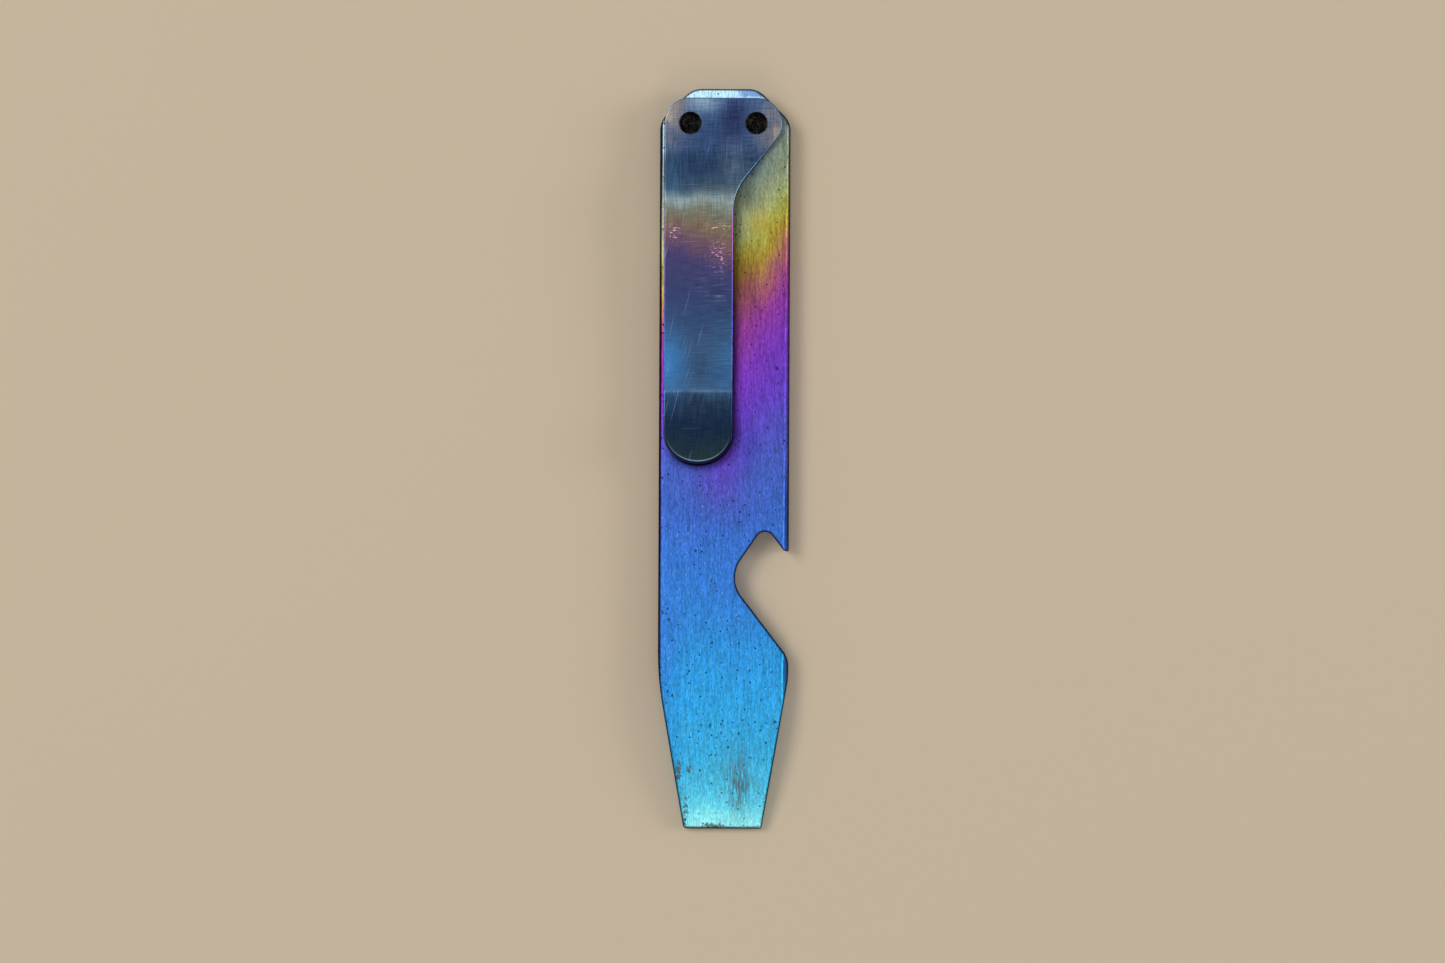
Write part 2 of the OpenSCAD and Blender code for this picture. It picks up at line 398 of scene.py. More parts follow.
def edge_section(top_r, back_r, band, band_mark, support=0.03, steps=4, wall_mark=0.3):
    """The rings of a plate's outer edge: rounded at the top and the back, straight between."""
    rings = []
    for radius, face, down in ((top_r, 1.0, -1), (back_r, 0.0, 1)):
        half = [(radius + band, face, 0.0, 0.0), (radius + support, face, 0.0, band_mark)]
        for k in range(steps + 1):
            angle = math.pi / 2 * k / steps
            inset, depth = radius * (1 - math.sin(angle)), radius * (1 - math.cos(angle))
            half.append((inset, face, down * depth, 1.0))
        half.append((0.0, face, down * (radius + support), wall_mark))
        rings += half if face else half[::-1]
    return rings


# ---- bar ----

def soft_excess(u):
    """The part of u above zero, with its corner rounded as a crease is."""
    rounded_part = (u + CREASE_R) ** 2 / (4 * CREASE_R)
    return np.where(u < -CREASE_R, 0, np.where(u > CREASE_R, u, rounded_part))


def notched_edge_x(y):
    return SIDE - NOTCHED_EDGE - NOTCHED_EDGE_GAIN * (END_Y - y)


def plain_edge_x(y):
    return -SIDE + PLAIN_EDGE - PLAIN_EDGE_GAIN * (END_Y - y)


def top_edge_width(x):
    """The chamfer along the clip end starts near its middle and widens to the notched side."""
    return np.clip(END_EDGE_GAIN * (x - END_EDGE_START), 0, END_EDGE)


def bar_top(x, y):
    """Height of the bar's clip side: the flat face less the deepest cut at each point."""
    along = np.clip((TIP_Y + GRIND_L - y) / GRIND_L, 0, 1)
    corner = SIDE + END_Y - CORNER_CUT
    cuts = [
        GRIND_DROP * along ** GRIND_CURVE + soft_excess(TIP_Y + TIP_EDGE - y),
        soft_excess(x - notched_edge_x(y)),
        soft_excess(plain_edge_x(y) - x),
        soft_excess((x + y - corner) / math.sqrt(2) + NOTCHED_CORNER_EDGE),
        soft_excess((y - x - corner) / math.sqrt(2) + PLAIN_CORNER_EDGE),
        soft_excess(y - END_Y + top_edge_width(x)),
        END_BEVEL_SLOPE * soft_excess(y - END_Y + END_BEVEL_L),
    ]
    return BAR_T - np.maximum.reduce(cuts)


def bar_back(x, y):
    """Height of the bar's back face, with its chamfered sides and ends."""
    cuts = [
        soft_excess(np.abs(x) - SIDE + BACK_EDGE),
        soft_excess(y - END_Y + BACK_EDGE),
        soft_excess(TIP_Y + BACK_EDGE - y),
    ]
    return np.maximum.reduce(cuts)


def place_on_bar(points, face, rise):
    x, y = points[:, 0], points[:, 1]
    z = face * bar_top(x, y) + (1 - face) * bar_back(x, y) + rise
    return np.column_stack([x, y, z])


def bar_corners():
    """The outline's corners, counter-clockwise from the notched side's clip end, with radii."""
    return [
        (SIDE, END_Y - CORNER_CUT, CORNER_R),
        (SIDE - CORNER_CUT, END_Y, CORNER_R),
        (-SIDE + CORNER_CUT, END_Y, CORNER_R),
        (-SIDE, END_Y - CORNER_CUT, CORNER_R),
        (-SIDE, TAPER_Y, PLAIN_TAPER_R),
        (-TIP_HALF, TIP_Y, PLAIN_TIP_R),
        (TIP_HALF, TIP_Y, NOTCHED_TIP_R),
        (SIDE, TAPER_Y, NOTCHED_TAPER_R),
        (SIDE, TOOTH_Y - HOOK_GAP, HEEL_R),
        (SIDE - NOTCH_FLOOR[0], TOOTH_Y + NOTCH_FLOOR[1], NOTCH_FLOOR_R),
        (SIDE - NOTCH_CROWN[0], TOOTH_Y + NOTCH_CROWN[1], NOTCH_CROWN_R),
        (SIDE - TOOTH_INNER[0], TOOTH_Y + TOOTH_INNER[1], TOOTH_R),
        (SIDE, TOOTH_Y, TOOTH_R),
    ]


def bore_section():
    """A tapped hole through the bar, with its last threads and a countersink at the back."""
    rings = [(HOLE_SUPPORT, 1.0, 0.0, 0.0), (0.0, 1.0, 0.0, 0.0), (0.0, 1.0, -HOLE_SUPPORT, 0.0)]
    for k in range(BORE_TURNS):
        depth = BORE_MOUTH + (BORE_TURNS - k) * PITCH / 2
        rings.append((-BORE_THREAD if k % 2 else 0.0, 0.0, depth, 0.0))
    rings += [
        (0.0, 0.0, BORE_MOUTH, 0.0),
        (BORE_MOUTH - HOLE_SUPPORT, 0.0, HOLE_SUPPORT, 0.6),
        (BORE_MOUTH, 0.0, 0.0, 1.0),
        (BORE_MOUTH + HOLE_SUPPORT, 0.0, 0.0, 0.0),
    ]
    return rings


def line_of(x, y):
    """A line's points, from its X and Y, where either may be one number."""
    return np.column_stack(np.broadcast_arrays(x, y))


def bar_creases(rows):
    """The lines on the clip side and on the back where surfaces meet, three to each crease."""
    across = np.arange(-SIDE, SIDE, BAR_ROW_GAP / 2)
    diagonal = SIDE + END_Y - CORNER_CUT - NOTCHED_CORNER_EDGE * math.sqrt(2)
    top_creases, back_creases = [], []
    for u in (-CREASE_R, 0, CREASE_R):
        top_creases += [
            line_of(notched_edge_x(rows) + u, rows),
            line_of(plain_edge_x(rows) - u, rows),
            line_of(across, TIP_Y + TIP_EDGE - u),
            line_of(across, diagonal + u * math.sqrt(2) - across),
            line_of(across, END_Y + u - top_edge_width(across)),
        ]
        back_creases += [
            line_of(SIDE - BACK_EDGE + u, rows),
            line_of(BACK_EDGE - SIDE - u, rows),
            line_of(across, END_Y - BACK_EDGE + u),
            line_of(across, TIP_Y + BACK_EDGE - u),
        ]
    return top_creases, back_creases


def make_bar():
    rows = np.concatenate([
        np.arange(TIP_Y + TIP_EDGE + BAR_ROW_GAP / 2, END_Y - END_BEVEL_L, BAR_ROW_GAP),
        [END_Y - END_BEVEL_L + u for u in (0, BAR_ROW_GAP, 2 * BAR_ROW_GAP)],
    ])
    corners = bar_corners()
    outline = with_stations(rounded(corners), rows, BAR_ROW_GAP)
    loops = [outline] + [hole(p, BORE_R) for p in SCREW_POINTS]
    sections = [edge_section(BAR_EDGE_R, BAR_EDGE_R, BAR_EDGE_BAND, band_mark=1.0)]
    sections += [bore_section() for _ in SCREW_POINTS]
    top_creases, back_creases = bar_creases(rows)
    piece = plate(
        "bar_body", loops, sections, place_on_bar, rows, BAR_ROW_GAP, top_creases, back_creases, corners
    )
    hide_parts("bar")
    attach(piece, "bar")
    return piece


# ---- clip ----

def clip_line():
    """The sheet's middle line in Y and Z, from its top end down, and its direction at each point."""
    corners = [(CLIP_TOP + PAST_END, CLIP_REST)]
    corners += [(CLIP_TOP - station, CLIP_REST + gap, radius) for station, gap, radius in CLIP_BENDS]
    corners.append((CLIP_TIP - PAST_END, CLIP_REST + FLARE_GAP))
    points, directions = [np.array(corners[0])], [unit(np.array(corners[1][:2]) - corners[0])]
    for before, here, after in zip(corners, corners[1:], corners[2:]):
        found, turns = fillet(before, here, after, here[2], BEND_STEP)
        points += found
        directions += turns
    points.append(np.array(corners[-1]))
    directions.append(directions[-1])
    return np.array(points), np.array(directions)


LINE_POINTS, LINE_DIRECTIONS = clip_line()


def place_on_clip(points, face, rise):
    """Bends flat points: a point's distance from the middle line runs along the sheet's normal."""
    x, y = points[:, 0], points[:, 1]
    order = slice(None, None, -1)
    stations = LINE_POINTS[order, 0]
    z = np.interp(y, stations, LINE_POINTS[order, 1])
    slope = np.interp(y, stations, LINE_DIRECTIONS[order, 1] / LINE_DIRECTIONS[order, 0])
    normal = np.column_stack([-slope, np.ones_like(slope)]) / np.hypot(slope, 1)[:, None]
    height = (face - 0.5) * CLIP_T + rise
    return np.column_stack([x, y + normal[:, 0] * height, z + normal[:, 1] * height])


def clip_outline():
    """The flat sheet's outline: its rounded tip, the arm's sides, the neck and the tab."""
    half = CLIP_W / 2
    tip_centre = np.array([CLIP_MIDDLE, CLIP_TIP + half * TIP_ROUND])
    angles = np.radians(np.arange(180, 361, TIP_STEP_DEGREES))
    tip = tip_centre + np.column_stack([half * np.cos(angles), half * TIP_ROUND * np.sin(angles)])
    tip_normals = np.column_stack([TIP_ROUND * np.cos(angles), np.sin(angles)])
    tip_normals /= np.linalg.norm(tip_normals, axis=1)[:, None]
    corners = [
        (CLIP_LEFT, CLIP_TIP, 0.0),
        (CLIP_RIGHT, CLIP_TIP, 0.0),
        (CLIP_RIGHT, NECK_Y, NECK_R),
        (TAB_RIGHT, TAB_SIDE_Y, TAB_SIDE_R),
        (TAB_RIGHT, CLIP_TOP, TAB_CORNER_R),
        (CLIP_LEFT, CLIP_TOP, TAB_CORNER_R),
    ]
    points, normals = rounded(corners, chosen=range(2, 6))
    return np.vstack([tip, points]), np.vstack([tip_normals, normals])


def clip_hole_section():
    insets = [(CLIP_HOLE_EDGE + HOLE_SUPPORT, 0.0), (CLIP_HOLE_EDGE, 0.0), (0.0, CLIP_HOLE_EDGE)]
    top = [(inset, 1.0, -depth, 0.0) for inset, depth in insets]
    return top + [(inset, 0.0, depth, 0.0) for inset, depth in reversed(insets)]


def make_clip():
    bend_rows = LINE_POINTS[1:-1, 0]
    even_rows = np.arange(CLIP_TIP + CLIP_ROW_GAP / 2, CLIP_TOP, CLIP_ROW_GAP)
    spare = np.abs(even_rows[:, None] - bend_rows).min(1) > CLIP_ROW_GAP / 3
    rows = np.sort(np.concatenate([bend_rows, even_rows[spare]]))
    outline = with_stations(clip_outline(), rows, CLIP_ROW_GAP)
    loops = [outline] + [hole(p, CLIP_HOLE_R) for p in SCREW_POINTS]
    sections = [edge_section(CLIP_EDGE_R, CLIP_BACK_EDGE_R, CLIP_EDGE_BAND, band_mark=0.0)]
    sections += [clip_hole_section() for _ in SCREW_POINTS]
    piece = plate("clip_strip", loops, sections, place_on_clip, rows, CLIP_ROW_GAP)
    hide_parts("clip_tab", "clip_arm")
    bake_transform(piece)
    return piece


# ---- screws ----

SEGMENTS = 96
ANGLES = np.linspace(0, 2 * math.pi, SEGMENTS, endpoint=False)


def lathed(name, rings, bottom, top):
    """A closed round piece from rings of (radii, heights, edge mark), first to last going down."""
    vertices, edge_mark, faces = [top], [0.0], []
    for radii, heights, rubbed in rings:
        radii = np.broadcast_to(radii, SEGMENTS)
        heights = np.broadcast_to(heights, SEGMENTS)
        vertices += list(np.column_stack([radii * np.cos(ANGLES), radii * np.sin(ANGLES), heights]))
        edge_mark += [rubbed] * SEGMENTS
    vertices.append(bottom)
    edge_mark.append(0.0)
    last = len(vertices) - 1
    for i in range(SEGMENTS):
        j = (i + 1) % SEGMENTS
        faces.append((0, 1 + i, 1 + j))
        for k in range(len(rings) - 1):
            upper = 1 + k * SEGMENTS
            lower = upper + SEGMENTS
            faces.append((upper + i, lower + i, lower + j, upper + j))
        faces.append((last, last - SEGMENTS + j, last - SEGMENTS + i))
    return add_mesh(name, vertices, faces, edge_mark)


def socket_rings(floor_z, lobes, dome):
    """The six-lobed socket, from the middle of its dished floor up to its broken edge."""
    return [
        (0.25, floor_z - 0.13, 0.0),
        (lobes * 0.55, floor_z - 0.04, 0.0),
        (lobes - 0.06, floor_z, 0.0),
        (lobes, floor_z + 0.05, 0.0),
        (lobes, dome(lobes) - 0.08, 0.1),
        (lobes + 0.015, dome(lobes) - 0.02, 0.3),
        (lobes + 0.045, dome(lobes + 0.045), 0.3),
    ]


def head_rings(head_r, seat, lobes, dome):
    """The dome from the socket out to the head's rounded edge, and down to its seat."""
    rings = []
    inner = lobes + 0.1
    edge = head_r - HEAD_EDGE_R
    for t in np.linspace(0, 1, 7):
        radii = inner + t * (edge - inner)
        rings.append((radii, dome(radii), 0.0))
    for angle in np.radians([20, 45, 70, 90]):
        radius = edge + HEAD_EDGE_R * math.sin(angle)
        rings.append((radius, dome(edge) - HEAD_EDGE_H * (1 - math.cos(angle)), 0.7))
    rings += [
        (head_r, seat + 0.06, 0.5),
        (head_r - HEAD_UNDERCUT, seat, 0.3),
        (SHANK_R + SHANK_NECK, seat, 0.0),
        (SHANK_R - THREAD_DEPTH + 0.04, seat - 0.02, 0.0),
    ]
    return rings


def thread_rings(seat):
    """A true helical thread that fades out at both ends, and the shank's flat end."""
    rings = []
    heights = np.arange(seat - THREAD_START, SCREW_END_Z + SHANK_END_CUT, -PITCH / THREAD_STEPS)
    for z in heights:
        phase = (z / PITCH - ANGLES / (2 * math.pi)) % 1
        crest = np.clip(THREAD_SLOPE * (1 - np.abs(2 * phase - 1)) - THREAD_ROOT, 0, 1)
        fade = min(1, (seat - THREAD_START - z) / THREAD_RUN_OUT, (z - SCREW_END_Z) / THREAD_RUN_OUT)
        rings.append((SHANK_R - THREAD_DEPTH * (1 - crest * fade), z, 0.0))
    rings.append((SHANK_R - THREAD_DEPTH - SHANK_END_CUT, SCREW_END_Z, 0.2))
    rings.append((0.2, SCREW_END_Z, 0.0))
    return rings


def make_screw(name, node):
    low, high = in_mm(node)
    centre = (low + high) / 2
    head_r = (high[0] - low[0]) / 2
    seat = high[2] - HEAD_H
    floor_z = high[2] - SOCKET_H
    lobes = SOCKET_MEAN_R + SOCKET_LOBE * np.cos(6 * ANGLES)
    dome_h = HEAD_H - HEAD_RIM
    dome_r = (head_r ** 2 + dome_h ** 2) / (2 * dome_h)

    def dome(radii):
        return high[2] - dome_r + np.sqrt(dome_r ** 2 - radii ** 2)

    rings = socket_rings(floor_z, lobes, dome)
    rings += head_rings(head_r, seat, lobes, dome)
    rings += thread_rings(seat)
    piece = lathed(name, rings, (0.0, 0.0, SCREW_END_Z), (0.0, 0.0, floor_z - SOCKET_DISH))
    piece.data.transform(Matrix.Translation((centre[0] * MM, centre[1] * MM, 0)))
    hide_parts(node)
    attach(piece, "bar")
    return piece


# ---- node helpers ----

CROSSWISE = math.radians(88)


def linear(colour):
    """An sRGB colour of 0 to 255 in linear light, with alpha."""
    channels = [c / 255 for c in colour]
    return [c / 12.92 if c <= 0.04045 else ((c + 0.055) / 1.055) ** 2.4 for c in channels] + [1.0]


class Shader:
    """A material's node tree, with a short call for each kind of node it uses. Positions and
    sizes are in millimetres."""

    def __init__(self, name):
        self.material = bpy.data.materials.new(name)
        self.material.use_nodes = True
        self.tree = self.material.node_tree
        self.tree.nodes.clear()
        output = self.add("OutputMaterial")
        self.surface = self.add("BsdfPrincipled")
        self.link(self.surface.outputs[0], output.inputs[0])
        coordinates = self.add("TexCoord")
        self.place = self.vector("MULTIPLY", coordinates.outputs["Object"], [1 / MM] * 3)
        self.x, self.y, self.z = self.split(self.place)
        self.normal = coordinates.outputs["Normal"]

    def add(self, kind, *values, **settings):
        """Adds a node with its settings, and links or sets its first inputs."""
        node = self.tree.nodes.new("ShaderNode" + kind)
        for key, setting in settings.items():
            setattr(node, key, setting)
        for value, socket in zip(values, node.inputs):
            self.link(value, socket)
        return node

    def link(self, value, socket):
        if isinstance(value, bpy.types.NodeSocket):
            self.tree.links.new(value, socket)
        else:
            socket.default_value = value

    def fill(self, node, **values):
        """Links or sets a node's inputs, named with _ for each space."""
        for name, value in values.items():
            self.link(value, node.inputs[name.replace("_", " ")])
        return node

    def split(self, vector):
        return self.add("SeparateXYZ", vector).outputs

    def join(self, x=0.0, y=0.0, z=0.0):
        return self.add("CombineXYZ", x, y, z).outputs[0]

    def math(self, operation, *values):
        return self.add("Math", *values, operation=operation).outputs[0]

    def vector(self, operation, *values):
        node = self.add("VectorMath", *values, operation=operation)
        return next(socket for socket in node.outputs if socket.enabled)

    def less(self, a, b):
        return self.math("SUBTRACT", a, b)

    def sum(self, *values):
        return reduce(lambda a, b: self.math("ADD", a, b), values)

    def product(self, *values):
        return reduce(lambda a, b: self.math("MULTIPLY", a, b), values)

    def most(self, *values):
        return reduce(lambda a, b: self.math("MAXIMUM", a, b), values)

    def about_zero(self, noise, amount):
        """Noise of 0 to 1 moved to lie evenly about zero, times an amount."""
        return self.math("MULTIPLY", self.less(noise, 0.5), amount)

    def ramp(self, value, low, high, to_low=0.0, to_high=1.0, smooth=True):
        """Maps a value from one range to another, held at both ends."""
        kind = "SMOOTHSTEP" if smooth else "LINEAR"
        ends = (low, high, to_low, to_high)
        return self.add("MapRange", value, *ends, interpolation_type=kind).outputs[0]

    def hump(self, value, centre, reach):
        """1 at the centre, falling away softly over the reach."""
        away = self.math("DIVIDE", self.less(value, centre), reach)
        return self.math("EXPONENT", self.product(away, away, -1.0))

    def spot(self, x, y, reach_x, reach_y):
        return self.product(self.hump(self.x, x, reach_x), self.hump(self.y, y, reach_y))

    def noise(self, size, detail=2.0, roughness=0.55, seed=0.0, at=None):
        """Noise from 0 to 1, of grains of a size along X, Y and Z."""
        scaled = self.vector("DIVIDE", at or self.place, size)
        moved = self.vector("ADD", scaled, (seed, seed * 1.7, seed * 0.6))
        node = self.add("TexNoise", noise_dimensions="3D")
        self.fill(node, Vector=moved, Scale=1.0, Detail=detail, Roughness=roughness)
        return node.outputs[0]

    def strokes(self, size, sway=0.0, turn=0.0, detail=3.0, seed=0.0):
        """Brush strokes along Y, turned by an angle, that wander sideways by the sway."""
        turned_place = self.add("VectorRotate", rotation_type="Z_AXIS")
        self.fill(turned_place, Vector=self.place, Angle=turn)
        wander = self.noise((3.0, 3.0, 3.0), detail=1.0, seed=seed + 50)
        shift = self.join(x=self.about_zero(wander, sway * 2))
        moved = self.vector("ADD", turned_place.outputs[0], shift)
        return self.noise(size, detail, 0.6, seed, at=moved)

    def specks(self, gap, seed=0.0):
        """The distance to the nearest of scattered points, about a gap apart, and its number from
        0 to 1."""
        scaled = self.vector("DIVIDE", self.place, [gap] * 3)
        moved = self.vector("ADD", scaled, [seed] * 3)
        node = self.add("TexVoronoi", voronoi_dimensions="3D")
        self.fill(node, Vector=moved, Scale=1.0)
        distance_to_it = self.math("MULTIPLY", node.outputs["Distance"], gap)
        return distance_to_it, self.split(node.outputs["Color"])[0]

    def gradient(self, value, stops):
        """A colour ramp of (position, sRGB colour) stops, low to high."""
        low, high = stops[0][0], stops[-1][0]
        node = self.add("ValToRGB")
        elements = node.color_ramp.elements
        while len(elements) < len(stops):
            elements.new(0.5)
        for element, (position, colour) in zip(elements, stops):
            element.position = (position - low) / (high - low)
            element.color = linear(colour)
        self.link(self.ramp(value, low, high, smooth=False), node.inputs[0])
        return node.outputs[0]

    def mix(self, factor, a, b):
        """Colour a turning to colour b. Plain colours are sRGB, of 0 to 255."""
        node = self.add("Mix", data_type="RGBA")
        self.link(factor, node.inputs["Factor"])
        sockets = [socket for socket in node.inputs if socket.type == "RGBA"]
        for colour, socket in zip((a, b), sockets):
            self.link(linear(colour) if isinstance(colour, tuple) else colour, socket)
        return next(socket for socket in node.outputs if socket.type == "RGBA")

    def over(self, colour, top_colour, *factors):
        """A colour laid over another, by the product of the factors."""
        return self.mix(self.product(*factors), colour, top_colour)

    def patches(self, colour, patches, *masks):
        for *place, strength, patch_colour in patches:
            colour = self.over(colour, patch_colour, self.spot(*place), *masks, strength)
        return colour

    def shaded(self, colour, factor):
        return self.vector("MULTIPLY", colour, self.join(factor, factor, factor))

    def dimmed(self, colour, amount, least):
        """A colour that falls to a share of itself as the amount goes from 0 to 1."""
        return self.shaded(colour, self.ramp(amount, 0.0, 1.0, 1.0, least, smooth=False))

    def bump(self, height, depth):
        """A normal for relief of a depth."""
        return self.fill(self.add("Bump"), Distance=depth * MM, Height=height).outputs[0]

    def marked_edge(self):
        """The mesh's edge mark: 1 on its edges, 0 on its faces. It places painted shade on the bar's
        edges, a painted highlight on the clip's rim, and rubbed steel with a painted highlight on the
        screws' edges.
        """
        return self.add("Attribute", attribute_name="edge_mark").outputs["Fac"]

    def finish(self, **values):
        """Links or sets the surface's inputs, and returns the material."""
        self.fill(self.surface, **values)
        return self.material

    def metal(self, colour, roughness, height, depth):
        """A metal surface with relief of a depth."""
        normal = self.bump(height, depth)
        return self.finish(Base_Color=colour, Metallic=1.0, Roughness=roughness, Normal=normal)


# ---- materials ----

# Heat colours along the bar's notched side, by Y
BAR_COLOURS = [
    (-54, (160, 246, 252)),
    (-51.5, (110, 218, 242)),
    (-48.5, (88, 200, 230)),
    (-43, (64, 176, 220)),
    (-36, (52, 160, 216)),
    (-28, (50, 145, 210)),
    (-20, (56, 124, 202)),
    (-12, (60, 111, 196)),
    (-6, (64, 100, 186)),
    (0, (72, 93, 180)),
    (6, (86, 79, 182)),
    (12, (104, 64, 184)),
    (18, (119, 58, 175)),
    (24, (140, 60, 146)),
    (27, (152, 78, 118)),
    (30, (163, 104, 92)),
    (33, (164, 138, 52)),
    (36, (160, 160, 74)),
    (39, (154, 162, 110)),
    (42, (142, 151, 118)),
    (48, (112, 128, 124)),
    (52, (128, 150, 160)),
    (53.5, (196, 232, 252)),
]

# How far the heat colours are shifted along Y: towards the plain side, in the middle below the
# clip, and along the plain edge near the tip
SLANT = 9.5
SLANT_REACH = 7.0
MIDDLE_LAG = 10.0
EDGE_LAG = 10.0

# Soft patches between the arm and the notched side: centre X and Y, reach along X and Y,
# strength, colour. The darker ones beside the arm and the tab are painted shade from the clip, mixed with
# heat colour
BAR_PATCHES = [
    (3.9, 43.0, 1.8, 2.4, 0.45, (64, 98, 128)),
    (3.5, 38.8, 1.5, 2.2, 0.45, (50, 62, 68)),
    (3.7, 2.8, 1.3, 4.0, 0.3, (40, 44, 140)),
    (3.0, 26.5, 1.9, 5.5, 0.5, (80, 44, 20)),
    (5.2, 34.8, 1.8, 1.9, 0.45, (186, 152, 44)),
]

# Where the bar's finish is rubbed through: centre X and Y, reach along X and Y, strength
STREAKS = (2.4, -47.3, 1.9, 4.4, 0.9)
SCUFFS = [
    (-6.5, -45.6, 0.6, 2.0, 1.0),
    (-4.9, -45.2, 0.7, 0.8, 0.85),
    (-5.4, TIP_Y + 2.4, 0.6, 3.0, 0.85),
    (-1.3, TIP_Y + 0.45, 2.2, 0.65, 1.0),
]

# The bar's plain side, by Y: a colour mixed in, and a tint over it. With the dimming there, they give
# that side a more purple heat colour and painted shade
PLAIN_SIDE_COLOURS = [(-24, (20, 26, 80)), (4, (60, 14, 84))]
PLAIN_SIDE_TINTS = [(-10, (250, 178, 203)), (16, (212, 190, 184))]

# Other colours of the bar
WHITE = (255, 255, 255)
GLINT_COLOUR = (162, 222, 255)
PIT_COLOUR = (20, 30, 60)
# a painted highlight along the tip
PAINTED_GLEAM_COLOUR = (150, 248, 236)
BARE_COLOUR = (88, 88, 82)
# Colours of painted shade on the bar's slopes, the upper plain side, the wedge chamfer and the edges,
# with the heel's darker blue
SLOPE_SHADE_COLOUR = (40, 26, 84)
UPPER_SIDE_SHADE_COLOUR = (42, 68, 88)
HEEL_COLOUR = (20, 48, 130)
WEDGE_SHADE_COLOUR = (70, 126, 196)
BAR_EDGE_SHADE_COLOUR = (15, 10, 32)

# Heat colours along the clip's middle, by Y
CLIP_COLOURS = [
    (0, (40, 58, 64)),
    (5, (28, 46, 73)),
    (8.5, (42, 60, 84)),
    (10.4, (58, 88, 120)),
    (12.6, (49, 74, 107)),
    (16, (54, 80, 110)),
    (20, (50, 70, 104)),
    (25, (54, 62, 100)),
    (29, (66, 62, 102)),
    (32, (100, 74, 90)),
    (34, (114, 96, 82)),
    (36, (110, 114, 98)),
    (38, (132, 148, 148)),
    (40, (78, 104, 130)),
    (42, (56, 80, 116)),
    (47, (52, 74, 110)),
    (53, (64, 90, 130)),
]

# Colours of the painted highlight along the clip's thin rounded rim, by Y
CLIP_RIM_HIGHLIGHT_COLOURS = [
    (0, (132, 162, 166)),
    (7, (60, 88, 116)),
    (16, (90, 120, 220)),
    (24, (104, 104, 224)),
    (33, (196, 92, 190)),
    (40, (110, 160, 200)),
    (52, (90, 130, 190)),
]

# Soft patches on the clip's tab, as on the bar. The cloudy ones are broken up by noise.
CLIP_PATCHES = [
    (1.2, 50.2, 2.0, 3.1, 0.88, (37, 41, 80)),
    (0.6, 46.2, 2.4, 2.0, 0.45, (40, 42, 82)),
    (-7.2, 52.4, 1.5, 1.3, 0.7, (138, 120, 104)),
    (-8.2, 41.0, 1.8, 2.8, 0.5, (84, 130, 172)),
    (-3.2, 52.3, 2.2, 1.4, 0.8, (136, 160, 178)),
]
CLOUDY_PATCHES = [(1.4, 42.8, 2.0, 2.8, 0.85, (100, 124, 150))]

# Other colours of the clip
STRAW_COLOUR = (152, 143, 128)
OUTER_BLUE = (60, 124, 184)
# a painted highlight along the bend, and painted glints in orange and pink
BEND_HIGHLIGHT_COLOUR = (110, 136, 160)
ORANGE_GLINT = (255, 196, 130)
PINK_GLINT = (232, 184, 222)
LIGHT_LINE_COLOUR = (150, 152, 196)
SCRATCH_COLOUR = (150, 170, 204)
# painted shade on the clip's sides, a painted highlight inside the tip's rim, and painted shade on that
# rim
CLIP_SIDE_SHADE_COLOUR = (16, 18, 34)
TIP_HIGHLIGHT_COLOUR = (150, 180, 188)
TIP_RIM_SHADE_COLOUR = (5, 6, 9)

# Colours of the screws' black finish, and of the steel where it is rubbed, which on the rims and socket
# edges is also a painted highlight
BLACK_COLOURS = ((9, 9, 10), (31, 29, 28))
STEEL_AND_HIGHLIGHT_COLOUR = (112, 106, 100)


def bar_heat_colour(s, strokes):
    """The heat colours slant down towards the plain side, and lag in the middle below the clip."""
    from_side = s.less(SIDE - 1.5, s.x)
    slant = s.less(1.0, s.math("EXPONENT", s.math("DIVIDE", from_side, -SLANT_REACH)))
    slant = s.product(slant, s.ramp(s.y, -2.0, 10.0, 0.0, SLANT))
    fades = s.product(s.ramp(s.y, -13.0, -4.0, 0.0, MIDDLE_LAG), s.ramp(s.y, 10.0, -2.0))
    lag = s.product(s.hump(s.x, -0.5, 4.0), fades)
    edge_lag = s.product(s.ramp(s.x, -4.5, -SIDE), s.ramp(s.y, -12.0, -36.0, 0.0, EDGE_LAG))
    drift = s.about_zero(s.noise((5.0, 9.0, 5.0), seed=3), 6.0)
    scatter = s.about_zero(strokes, 3.6)
    return s.gradient(s.sum(s.y, slant, lag, edge_lag, drift, scatter), BAR_COLOURS)


def brushed(s, colour, strokes, grain):
    """Light and dark brush strokes, and short bright ones that sparkle in the blue."""
    colour = s.shaded(colour, s.ramp(strokes, 0.28, 0.72, 0.78, 1.24))
    colour = s.shaded(colour, s.ramp(grain, 0.3, 0.7, 0.82, 1.22))
    glint = s.strokes((0.13, 0.55, 0.4), sway=0.1, detail=1.0, seed=83)
    sparkle = s.product(s.ramp(glint, 0.66, 0.8), s.ramp(s.y, 4.0, -14.0, 0.06, 0.6))
    return s.mix(sparkle, colour, GLINT_COLOUR)


def from_arm_line(s, roundness):
    """The distance from the line down the arm's middle to the centre of its tip's curve."""
    below = s.math("MINIMUM", s.less(s.y, CLIP_TIP + CLIP_W / 2 * roundness), 0.0)
    return s.vector("LENGTH", s.join(s.less(s.x, CLIP_MIDDLE), s.math("DIVIDE", below, roundness)))


